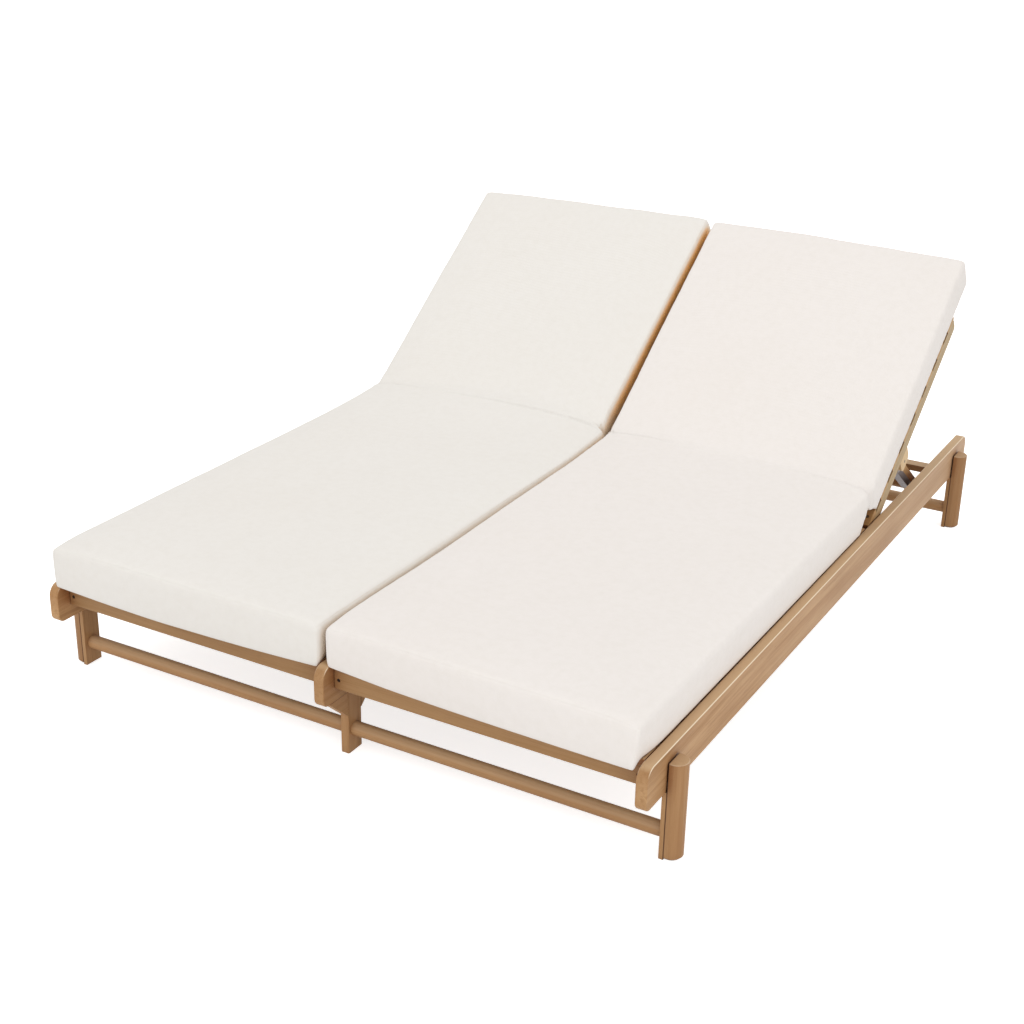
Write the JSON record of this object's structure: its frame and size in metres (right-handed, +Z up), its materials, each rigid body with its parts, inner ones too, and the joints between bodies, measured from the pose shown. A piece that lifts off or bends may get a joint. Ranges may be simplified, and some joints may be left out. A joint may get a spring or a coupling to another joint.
{
  "type": "double chaise lounger",
  "caption": "Low two-place slatted wooden sun lounger on round-faced legs, each bay with its own box cushion and a backrest on a notched prop.",
  "frame": {"origin": "on the floor, under the middle of the frame's width and length", "axes": "+X to the right bay seen from the foot end, +Y from the foot end to the head end, +Z up from the floor"},
  "size_m": [1.463, 1.968, 0.7353],
  "materials": {
    "frame_wood": "light oiled hardwood with fine straight grain",
    "cushion_fabric": "off-white plain-weave outdoor fabric over foam",
    "hardware_steel": "bright stainless steel"
  },
  "bodies": {
    "frame": {"cross_rail_front_left": "frame_wood", "cross_rail_front_right": "frame_wood", "cross_rail_middle_left": "frame_wood", "cross_rail_middle_right": "frame_wood", "cross_rail_rear_left": "frame_wood", "cross_rail_rear_right": "frame_wood", "cross_rail_screws": "hardware_steel", "hinge_bolts": "hardware_steel", "leg_block_front_left": "frame_wood", "leg_block_front_right": "frame_wood", "leg_block_rear_left": "frame_wood", "leg_block_rear_right": "frame_wood", "leg_bolts": "hardware_steel", "leg_center_front": "frame_wood", "leg_center_gussets": "frame_wood", "leg_center_pins": "frame_wood", "leg_center_rear": "frame_wood", "leg_post_front_left": "frame_wood", "leg_post_front_right": "frame_wood", "leg_post_rear_left": "frame_wood", "leg_post_rear_right": "frame_wood", "leg_spacers": "hardware_steel", "prop_racks_left": "frame_wood", "prop_racks_right": "frame_wood", "rail_center": "frame_wood", "rail_left": "frame_wood", "rail_right": "frame_wood", "seat_cushion_left": "cushion_fabric", "seat_cushion_right": "cushion_fabric", "seat_ledgers_left": "frame_wood", "seat_ledgers_right": "frame_wood", "seat_slat_screws": "hardware_steel", "seat_slats_left": "frame_wood", "seat_slats_right": "frame_wood", "stretcher_front_left": "frame_wood", "stretcher_front_right": "frame_wood", "stretcher_rear_left": "frame_wood", "stretcher_rear_right": "frame_wood"},
    "backrest_left": {"back_cushion_left": "cushion_fabric", "back_slat_screws_left": "hardware_steel", "back_slats_left": "frame_wood", "back_stile_inner_left": "frame_wood", "back_stile_outer_left": "frame_wood", "prop_blocks_left": "frame_wood", "prop_bolts_left": "hardware_steel"},
    "prop_left": {"prop_arms_left": "frame_wood", "prop_bar_left": "frame_wood", "prop_plate_screws_left": "hardware_steel", "prop_plates_left": "hardware_steel"},
    "backrest_right": {"back_cushion_right": "cushion_fabric", "back_slat_screws_right": "hardware_steel", "back_slats_right": "frame_wood", "back_stile_inner_right": "frame_wood", "back_stile_outer_right": "frame_wood", "prop_blocks_right": "frame_wood", "prop_bolts_right": "hardware_steel"},
    "prop_right": {"prop_arms_right": "frame_wood", "prop_bar_right": "frame_wood", "prop_plate_screws_right": "hardware_steel", "prop_plates_right": "hardware_steel"}
  },
  "joints": [
    {"name": "backrest_left_hinge", "type": "hinge", "parent": "frame", "child": "backrest_left", "pos_m": [-0.34425, 0.26165, 0.202], "axis": [1, 0, 0], "range_deg": [-35.6, 19.4]},
    {"name": "prop_left_hinge", "type": "hinge", "parent": "backrest_left", "child": "prop_left", "pos_m": [-0.34425, 0.49403, 0.30688], "axis": [1, 0, 0], "range_deg": [-37.95, 69.65]},
    {"name": "backrest_right_hinge", "type": "hinge", "parent": "frame", "child": "backrest_right", "pos_m": [0.34425, 0.26165, 0.202], "axis": [1, 0, 0], "range_deg": [-35.6, 19.4]},
    {"name": "prop_right_hinge", "type": "hinge", "parent": "backrest_right", "child": "prop_right", "pos_m": [0.34425, 0.49403, 0.30688], "axis": [1, 0, 0], "range_deg": [-37.95, 69.65]}
  ],
  "couplings": [
    {"joint": "prop_left_hinge", "follows": "backrest_left_hinge", "ratio": -1.9551},
    {"joint": "prop_right_hinge", "follows": "backrest_right_hinge", "ratio": -1.9551}
  ]
}
